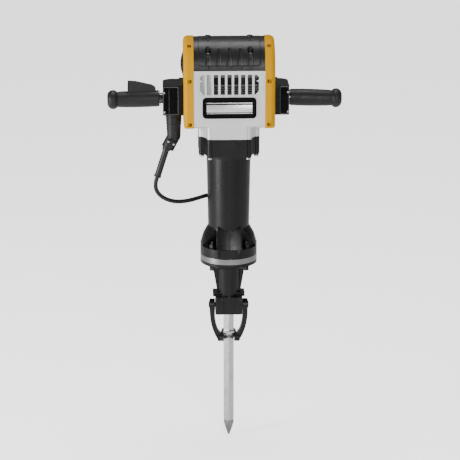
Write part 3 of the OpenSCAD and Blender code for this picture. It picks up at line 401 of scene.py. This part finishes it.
VENT_METAL = painted_casting("vent_metal", (0.09, 0.09, 0.092), 0.45, metallic=0.4)
DARK_STEEL = metal("blackened_steel", (0.035, 0.035, 0.037), 0.32, scale=900)
POLISHED = metal("polished_steel", (0.085, 0.085, 0.088), 0.14, scale=900)
GRIP = rubber("grip_rubber", (0.010, 0.010, 0.0105), 0.46, specular=0.26)
BOOT = rubber("boot_rubber", (0.009, 0.009, 0.0095), 0.44, specular=0.28)
CORD = rubber("cord_jacket", (0.008, 0.008, 0.0085), 0.42, grain=0.00003, specular=0.35)


def strap_web(name):
    """Woven strap with ribs across it."""
    s = Shader(name, (0.02, 0.02, 0.022), 0.85)
    s.bsdf.inputs["Sheen Weight"].default_value = 0.3
    wave = s.nodes.new("ShaderNodeTexWave")
    wave.inputs["Scale"].default_value = 320
    wave.bands_direction = "Z"
    s.links.new(s.place, wave.inputs["Vector"])
    s.tint(s.between(wave.outputs["Fac"], 0.2, 0.9, 0.0, 0.6), (0.045, 0.045, 0.048))
    s.rough(s.noise(300, 3), 0.05)
    s.bump(wave.outputs["Fac"], 0.0003)
    return s.material


STRAP = strap_web("strap_web")

# Material of each CAD node that shows; a node that a piece replaces has none
NODE_MATERIALS = {
    SILVER: ["gear_housing"],
    YELLOW: ["left_side_cover", "right_side_cover"],
    COVER: ["trigger"],
    BLACK: ["motor_end_cap", "rear_panel", "control_module", "cooling_fan", "left_hub", "right_hub",
            "trigger_switch", "switch_plunger"],
    GLOSS: ["badge_plate", "hub_plates"],
    BARREL: ["barrel_housing"],
    NOSE: ["nose_housing"],
    FORGING: ["retainer", "retainer_bolts"],
    RING: ["spacer_ring"],
    BAR: ["steel"],
    MACHINED: ["bearings", "idler_gear", "crank_gear", "crank_disc", "rod_pins", "ram", "striker",
               "cylinder_sleeve", "striker_guide", "hex_bush"],
    ZINC: ["cover_screws", "collar_bolts", "hub_studs", "left_hub_springs", "right_hub_springs",
           "trigger_spring"],
    DARK_STEEL: ["side_cover_screws", "flange_bolts"],
    POLISHED: ["left_arm", "right_arm"],
    CASTING: ["gear_plate", "motor_end_plate", "connecting_rod", "piston"],
    LAMINATION: ["field_core", "armature"],
    COPPER: ["field_coils", "brush_gear", "armature_windings", "commutator"],
    GRIP: ["left_grip", "right_grip"],
    BOOT: ["cord_boot"],
    CORD: ["strain_relief", "plug"],
    STRAP: ["cord_tie"],
}


def paint(obj, material):
    obj.data.materials.clear()
    obj.data.materials.append(material)


for material, names in NODE_MATERIALS.items():
    for name in names:
        paint(NODES[name], material)

paint(cord, CORD)
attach(cord, "housing")
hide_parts("cord_lead", "cord_hank")

# ---------- Motor cover ----------

COVER_R = 0.0812
COVER_INNER_R = 0.060
COVER_AXIS_Z = 0.090
COVER_HALF = 0.0978
PAD_HALF_MM = 85
PAD_LOW_MM = 13
PAD_CORNER_MM = 7
PAD_RISE_MM = 0.7
LIP_RISE_MM = 0.75
GROOVE_DEPTH_MM = 1.2
GROOVE_REACH_MM = 12
# Where up the side the pad's lip ends, and over how much it fades out
LIP_END_MM = 84
LIP_FADE_MM = 18
# How far up each side the surface is cut finely, and the steps there and over the top
FINE_MM = 80
FINE_STEP_MM = 0.9
COARSE_STEP_MM = 3
# X, half width at the pad's edge, top and half width at the top of each groove, along the surface
GROOVES_MM = [(-58, 6.6, 35, 6.2), (-29, 6.8, 63, 2.6), (0, 6.8, 65, 2.6), (29, 6.8, 63, 2.6),
              (58, 6.6, 35, 6.2)]
COVER_POCKETS = [(sx * 0.058, sy * 0.060) for sx in (-1, 1) for sy in (-1, 1)]
COVER_BOSSES = [(-0.058, -0.006), (0.058, -0.006)]
BORE_PROFILE = [(0.0085, 0.131), (0.0085, 0.190)]
BOSS_PROFILE = [(0.0050, 0.150), (0.0088, 0.150), (0.0084, 0.1745), (0.0078, 0.1757), (0.0066, 0.1763),
                (0.0052, 0.1763), (0.0048, 0.1755), (0.0048, 0.172)]
NUB_PROFILE = [(0.0040, 0), (0.0036, 0.0016), (0.0024, 0.0027), (0.0008, 0.0031)]
NUB_Y = -0.030
NUB_RISE = 0.0748
NUB_AXIS = (0, -0.37, 0.93)


def ridge(distance, centre, width):
    """A bump of height 1 at the centre."""
    return math.exp(-((distance - centre) / width) ** 2)


def cover_relief(x, side):
    """Height in millimetres of the cover's surface at x, side millimetres up from its rim."""
    dx, dy = abs(x) - (PAD_HALF_MM - PAD_CORNER_MM), (PAD_LOW_MM + PAD_CORNER_MM) - side
    outside = math.hypot(max(dx, 0), max(dy, 0)) + min(max(dx, dy), 0) - PAD_CORNER_MM
    fade = smooth_step((LIP_END_MM - side) / LIP_FADE_MM)
    height = PAD_RISE_MM * smooth_step(-outside / 1.2) + LIP_RISE_MM * fade * ridge(outside, -0.9, 0.9)
    for centre, low_half, top, top_half in GROOVES_MM:
        if abs(x - centre) > GROOVE_REACH_MM:
            continue
        t = min(max((side - PAD_LOW_MM) / (top - PAD_LOW_MM), 0), 1)
        half = low_half + (top_half - low_half) * t
        d = math.hypot(x - centre, side - min(max(side, PAD_LOW_MM + 1), top)) - half
        height += (-GROOVE_DEPTH_MM * smooth_step((-d - 0.4) / 1.4) * smooth_step(-outside / 1.5)
                   + LIP_RISE_MM * ridge(d, 0.4, 0.9))
    return height


def cut_away(obj, cutter):
    """Cuts one closed mesh out of another for good, and removes the cutter."""
    modifier = obj.modifiers.new("cut", "BOOLEAN")
    modifier.operation = "DIFFERENCE"
    modifier.solver = "EXACT"
    modifier.object = cutter
    keep_result(obj)
    bpy.data.objects.remove(cutter)


def keep_result(obj):
    """Replaces an object's mesh with what its modifiers make of it."""
    bpy.context.view_layer.update()
    shown = obj.evaluated_get(bpy.context.evaluated_depsgraph_get())
    mesh = bpy.data.meshes.new_from_object(shown)
    obj.modifiers.clear()
    obj.data = mesh


def turned(name, profile, place, axis=(0, 0, 1), steps=40):
    """Turned solid from (radius, height) pairs, standing at a place along an axis."""
    turn = Vector((0, 0, 1)).rotation_difference(Vector(axis)).to_matrix()
    rings = []
    for radius, height in profile:
        ring = []
        for k in range(steps):
            a = 2 * math.pi * k / steps
            ring.append(Vector(place) + turn @ Vector((radius * math.cos(a), radius * math.sin(a), height)))
        rings.append(ring)
    return mesh_object(name, *lofted(rings))


def joined(name, objects):
    """One object made of several."""
    bm = bmesh.new()
    for obj in objects:
        bm.from_mesh(obj.data)
    mesh = bpy.data.meshes.new(name)
    bm.to_mesh(mesh)
    bm.free()
    for obj in objects:
        bpy.data.objects.remove(obj)
    for face in mesh.polygons:
        face.use_smooth = True
    return link(bpy.data.objects.new(name, mesh))


def smooth_by_angle(obj, angle):
    """Smooth shading that breaks at edges sharper than an angle."""
    mesh = obj.data
    bm = bmesh.new()
    bm.from_mesh(mesh)
    for edge in bm.edges:
        edge.smooth = not (len(edge.link_faces) == 2 and edge.calc_face_angle() > math.radians(angle))
    for face in bm.faces:
        face.smooth = True
    bm.to_mesh(mesh)
    bm.free()


def steps_between(first, last, step):
    count = max(1, round((last - first) / step))
    return [first + (last - first) * k / count for k in range(count)]


def make_motor_cover():
    arc = math.pi * COVER_R * 1000
    sides = (steps_between(0, FINE_MM, FINE_STEP_MM) + steps_between(FINE_MM, arc - FINE_MM, COARSE_STEP_MM)
             + steps_between(arc - FINE_MM, arc, FINE_STEP_MM) + [arc])
    columns = steps_between(-COVER_HALF, COVER_HALF, FINE_STEP_MM * MM) + [COVER_HALF]
    rows = []
    for s in sides:
        a = s / arc * math.pi
        row = []
        for x in columns:
            r = COVER_R + cover_relief(x * 1000, min(s, arc - s)) * MM
            row.append((x, -r * math.cos(a), COVER_AXIS_Z + r * math.sin(a)))
        for x in (COVER_HALF, 0.0, -COVER_HALF):
            row.append((x, -COVER_INNER_R * math.cos(a), COVER_AXIS_Z + COVER_INNER_R * math.sin(a)))
        rows.append(row)
    cover = mesh_object("motor_cover_shell", *lofted(rows))
    bores = [turned("bore", BORE_PROFILE, (x, y, 0)) for x, y in COVER_POCKETS]
    cut_away(cover, joined("bores", bores))
    smooth_by_angle(cover, 50)
    bosses = joined("motor_cover_bosses", [turned("boss", BOSS_PROFILE, (x, y, 0)) for x, y in COVER_BOSSES])
    nubs = joined("motor_cover_nubs", [turned("nub", NUB_PROFILE, (x, NUB_Y, COVER_AXIS_Z + NUB_RISE), NUB_AXIS)
                                       for x, _ in COVER_BOSSES])
    for piece in (cover, bosses, nubs):
        paint(piece, COVER)
        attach(piece, "housing")
        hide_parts("motor_cover")


make_motor_cover()

# ---------- Vent interior and badge ----------


def rounded_outline(x0, x1, z0, z1, radius, steps=8):
    """Points round a rectangle with round corners."""
    points = []
    corners = [(x1 - radius, z1 - radius, 0), (x0 + radius, z1 - radius, 90),
               (x0 + radius, z0 + radius, 180), (x1 - radius, z0 + radius, 270)]
    for cx, cz, start in corners:
        for k in range(steps + 1):
            a = math.radians(start + 90 * k / steps)
            points.append((cx + radius * math.cos(a), cz + radius * math.sin(a)))
    return points


def plate(name, x, z, y, radius, edge=0.0004):
    """Plate facing the front, from y[0] at the back to y[1] at the front, with softened front edges."""
    rings = []
    for depth, inset in ((y[0], 0.0), (y[1] + edge, 0.0), (y[1] + edge * 0.3, edge * 0.3), (y[1], edge)):
        outline = rounded_outline(x[0] + inset, x[1] - inset, z[0] + inset, z[1] - inset,
                                  max(radius - inset, 0.0001))
        rings.append([Vector((px, depth, pz)) for px, pz in outline])
    obj = mesh_object(name, *lofted(rings))
    smooth_by_angle(obj, 50)
    return obj


def rim(name, x, z, y, radius, width):
    """Raised frame facing the front."""
    loops = [(0.0, y[0]), (0.0, y[1] + 0.0004), (0.0004, y[1]), (width - 0.0004, y[1]), (width, y[1] + 0.0004),
             (width, y[0]), (0.0, y[0])]
    rings = []
    for inset, depth in loops:
        outline = rounded_outline(x[0] + inset, x[1] - inset, z[0] + inset, z[1] - inset,
                                  max(radius - inset, 0.0001))
        rings.append([Vector((px, depth, pz)) for px, pz in outline])
    obj = mesh_object(name, *lofted(rings, closed_ends=False))
    smooth_by_angle(obj, 50)
    return obj


VENT_X = (-0.062, 0.083)
VENT_BACK = -0.064
# Level, thickness and front Y of each blade behind the vent slots
VENT_BLADES = [(0.0262, 0.0022, -0.0745), (0.0330, 0.0022, -0.0745), (0.0395, 0.0020, -0.0740),
               (0.0450, 0.0042, -0.0700)]
# The two slots that are closed by a floor: middle X of each, half width and levels
BLIND_X = (-0.0744, -0.0558)
BLIND_HALF = 0.0060
BLIND_Z = (0.0245, 0.0795)
# Levels and front Y of the badge's strips
BADGE_STRIPS = [((-0.0245, -0.0035), -0.0858), ((-0.0285, -0.0268), -0.0856), ((0.0002, 0.0026), -0.0856)]


def make_vent_interior():
    blades = [plate("blade", VENT_X, (z, z + thick), (VENT_BACK, front), 0.0004, 0.0003)
              for z, thick, front in VENT_BLADES]
    ledge = plate("ledge", VENT_X, (0.0700, 0.0850), (VENT_BACK, -0.0735), 0.0008, 0.0006)
    ledges = joined("vent_ledges", blades + [ledge])
    paint(ledges, VENT_METAL)
    screen = plate("vent_screen", (-0.066, 0.087), (0.018, 0.086), (-0.0625, VENT_BACK), 0.002)
    paint(screen, BLACK)
    for piece in (ledges, screen):
        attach(piece, "housing")
        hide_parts("vent_baffle")
    # Floors of the two blind slots in a darker copy of the silver paint: painted shade in the recesses
    floors = [plate("blind", (x - BLIND_HALF, x + BLIND_HALF), BLIND_Z, (-0.0795, -0.0803), 0.0006, 0.0002)
              for x in BLIND_X]
    blind = joined("vent_blind_floors_painted_shade", floors)
    paint(blind, SILVER_PAINTED_SHADE)
    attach(blind, "housing")


def make_badge():
    inlay = [plate("inlay", (-0.0625, 0.0625), z, (-0.0848, front), 0.0006, 0.0003) for z, front in BADGE_STRIPS]
    face = joined("badge_inlay", inlay)
    smooth_by_angle(face, 50)
    paint(face, LABEL)
    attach(face, "housing")


make_vent_interior()
make_badge()

# ---------- Hub trim: rim and seam in a lighter grey as painted edge highlights, and screws ---

HUB_FLANGE_X = 0.138
HUB_FRONT = -0.050
HUB_LOW, HUB_HIGH = -0.040, 0.043
HUB_OUT = {"left": 0.183, "right": 0.166}
HUB_SCREW_LEVELS = (0.024, -0.031)
HUB_SCREW_PROFILE = [(0.0030, 0), (0.0030, 0.0010), (0.0024, 0.0016), (0.0008, 0.0018)]


def make_hub_trim(side, sign):
    low, high = HUB_LOW + 0.0014, HUB_HIGH - 0.0024
    x = sorted((sign * (HUB_FLANGE_X + 0.0012), sign * (HUB_OUT[side] - 0.0006)))
    # The rim and the seam are a lighter grey than the black hub: painted highlights along its edges
    highlight_rim = rim(side + "_hub_rim_highlight", x, (low, high), (HUB_FRONT + 0.001, HUB_FRONT - 0.0011), 0.0045, 0.0026)
    paint(highlight_rim, HIGHLIGHT_GREY_PLASTIC)
    screw_x = sign * (HUB_OUT[side] - 0.0042)
    heads = [turned("head", HUB_SCREW_PROFILE, (screw_x, HUB_FRONT - 0.0006, z), (0, -1, 0), 24)
             for z in HUB_SCREW_LEVELS]
    screws = joined(side + "_hub_screws", heads)
    paint(screws, ZINC)
    pieces = [highlight_rim, screws]
    if side == "left":
        seam = plate("left_hub_seam_highlight", (-0.1662, -0.1650), (low + 0.004, high - 0.006),
                     (HUB_FRONT + 0.002, HUB_FRONT), 0.0003, 0.0002)
        paint(seam, HIGHLIGHT_GREY_PLASTIC)
        pieces.append(seam)
    for piece in pieces:
        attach(piece, "housing")


for side, sign in (("left", -1), ("right", 1)):
    make_hub_trim(side, sign)

# ---------- Boot, barrel and nose detail ----------

BOOT_X = -0.153
BOOT_BEND_Z = -0.110
BOOT_LEAN = math.radians(28)
BOOT_RIDGE_LEVELS = (-0.047, -0.0535, -0.060, -0.0665, -0.073)
CLAMP_SCREW_PROFILE = [(0.0033, 0), (0.0033, 0.0010), (0.0026, 0.0018), (0.0010, 0.0021)]
# Level of the barrel's parting rib and Y of the surface that it stands on, in millimetres
RIB_MM = [(-186, -67.6), (-362, -63.9), (-370, -63.6), (-422, -76.3)]
# X, and Y from that surface, of the points across the rib; negative stands out to the front
RIB_SECTION_MM = [(-1.6, 1.5), (-1.3, -0.5), (-0.8, -1.0), (0.8, -1.0), (1.3, -0.5), (1.6, 1.5)]


def make_boot_detail():
    rings = []
    for z in BOOT_RIDGE_LEVELS:
        r = 0.0190 + 0.0030 * (z - BOOT_BEND_Z) / 0.070
        profile = [(r - 0.001, -0.0017), (r + 0.0007, -0.0011), (r + 0.0011, 0), (r + 0.0007, 0.0011),
                   (r - 0.001, 0.0017)]
        rings.append(turned("ridge", profile, (BOOT_X, 0, z), steps=56))
    ridges = joined("boot_ridges", rings)
    paint(ridges, BOOT)
    heads = []
    for x in (-0.008, 0.008):
        place = (BOOT_X + x * math.cos(BOOT_LEAN) - 0.016 * math.sin(BOOT_LEAN), -0.0245,
                 BOOT_BEND_Z - x * math.sin(BOOT_LEAN) - 0.016 * math.cos(BOOT_LEAN))
        heads.append(turned("head", CLAMP_SCREW_PROFILE, place, (0, -1, 0), 24))
    screws = joined("boot_clamp_screws", heads)
    paint(screws, ZINC)
    for piece in (ridges, screws):
        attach(piece, "housing")


def make_barrel_rib():
    rings = []
    for z, y in RIB_MM:
        rings.append([Vector((x * MM, (y + dy) * MM, z * MM)) for x, dy in RIB_SECTION_MM])
    rib = mesh_object("barrel_rib", *lofted(rings))
    smooth_by_angle(rib, 35)
    paint(rib, BARREL)
    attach(rib, "housing")


# Level, half width and front Y of the foot's sloping pads, in millimetres
PAD_MM = [(-356, 32, -49), (-361, 32.5, -56), (-367, 33, -61), (-422, 36, -75.8), (-423.5, 36, -75.2)]


def make_foot_pads():
    pads = []
    for side in (1, -1):
        rings = []
        for z, half, front in PAD_MM:
            outline = [(-half, -40), (-half, front + 2.4), (-half + 0.7, front + 0.7), (-half + 2.4, front)]
            outline += [(-x, y) for x, y in reversed(outline)]
            rings.append([Vector((x, side * y, z)) * MM for x, y in outline])
        pads.append(mesh_object("pad", *lofted(rings)))
    pads = joined("barrel_foot_pads", pads)
    smooth_by_angle(pads, 35)
    paint(pads, BARREL)
    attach(pads, "housing")


def make_nose_detail():
    """Keel down the front of the nose, and the two raised cheeks of its block."""
    rings = []
    for z, front in ((-0.4795, -0.0405), (-0.566, -0.0365)):
        outline = [(-0.0048, -0.028), (-0.0048, front + 0.001), (-0.0038, front), (0.0038, front),
                   (0.0048, front + 0.001), (0.0048, -0.028)]
        rings.append([Vector((x, y, z)) for x, y in outline])
    keel = mesh_object("keel", *lofted(rings))
    cheeks = [plate("cheek", x, (-0.6235, -0.5765), (-0.0355, -0.0384), 0.004, 0.0012)
              for x in ((-0.0372, -0.0150), (0.0150, 0.0372))]
    detail = joined("nose_detail", [keel] + cheeks)
    smooth_by_angle(detail, 35)
    paint(detail, NOSE)
    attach(detail, "housing")


make_boot_detail()
make_barrel_rib()
make_foot_pads()
make_nose_detail()

# ---------- Rounded edges of the CAD parts ----------

EDGE_WIDTHS = {
    0.0018: ["gear_housing", "barrel_housing", "nose_housing"],
    0.0024: ["retainer", "left_hub", "right_hub"],
    0.0016: ["cord_boot"],
    0.0008: ["left_side_cover", "right_side_cover", "badge_plate", "rear_panel", "motor_end_cap", "trigger",
             "plug"],
    0.0005: ["hub_plates", "steel", "spacer_ring", "cover_screws", "side_cover_screws", "flange_bolts",
             "retainer_bolts", "collar_bolts", "cord_tie", "strain_relief", "left_arm", "right_arm",
             "left_grip", "right_grip"],
}
for width, names in EDGE_WIDTHS.items():
    for name in names:
        bevelled(NODES[name], width)

# ---------- Floor, world and light ----------

FLOOR_GAP = 0.0005
FLOOR_HALF = 14.0
# Strength for the light that reaches the object, and for what the camera sees
FLOOR_GLOW = (0.26, 1.7)
WORLD_GLOW = (0.24, 2.3)
# Name, place, point aimed at, size and power
LIGHTS = [
    ("key", (-2.8, -1.3, 0.0), (0, 0, -0.3), (0.9, 1.85), 110),
    ("front", (0.6, -3.3, 0.7), (0, 0, -0.4), (0.9, 1.6), 62),
    ("right", (2.8, -1.0, 0.2), (0, 0, -0.5), (0.4, 2.0), 7),
    ("top", (0.0, 0.5, 3.0), (0, 0, 0), (2.0, 1.4), 80),
]


def make_stage():
    floor_z = CAD_BOX[0][2] - FLOOR_GAP
    corners = [(x * FLOOR_HALF, y * FLOOR_HALF, floor_z) for x, y in ((-1, -1), (1, -1), (1, 1), (-1, 1))]
    floor = mesh_object("floor", corners, [(0, 1, 2, 3)], smooth=False)
    s = Shader("floor_paper", (0.92, 0.92, 0.92), 0.7)
    s.tint(s.between(s.noise(3, 3), 0.4, 0.7, 0.0, 0.3), (0.90, 0.90, 0.905))
    s.bump(s.noise(700, 2), 0.00005)
    s.bsdf.inputs["Emission Color"].default_value = (1, 1, 1, 1)
    seen = s.nodes.new("ShaderNodeLightPath").outputs["Is Camera Ray"]
    s.links.new(s.between(seen, 0, 1, *FLOOR_GLOW), s.bsdf.inputs["Emission Strength"])
    paint(floor, s.material)


def area_light(name, place, target, size, power):
    data = bpy.data.lights.new(name, "AREA")
    data.shape = "RECTANGLE"
    data.size, data.size_y = size
    data.energy = power
    light = link(bpy.data.objects.new(name, data))
    light.location = place
    light.rotation_mode = "QUATERNION"
    light.rotation_quaternion = (Vector(target) - Vector(place)).to_track_quat("-Z", "Y")


def make_world():
    world = bpy.data.worlds.new("studio")
    world.use_nodes = True
    background = world.node_tree.nodes["Background"]
    background.inputs["Color"].default_value = (1.0, 1.0, 1.0, 1)
    seen = world.node_tree.nodes.new("ShaderNodeLightPath").outputs["Is Camera Ray"]
    strength = world.node_tree.nodes.new("ShaderNodeMapRange")
    strength.inputs["To Min"].default_value, strength.inputs["To Max"].default_value = WORLD_GLOW
    world.node_tree.links.new(seen, strength.inputs["Value"])
    world.node_tree.links.new(strength.outputs["Result"], background.inputs["Strength"])
    bpy.context.scene.world = world


make_stage()
make_world()
for light in LIGHTS:
    area_light(*light)

bpy.context.view_layer.update()
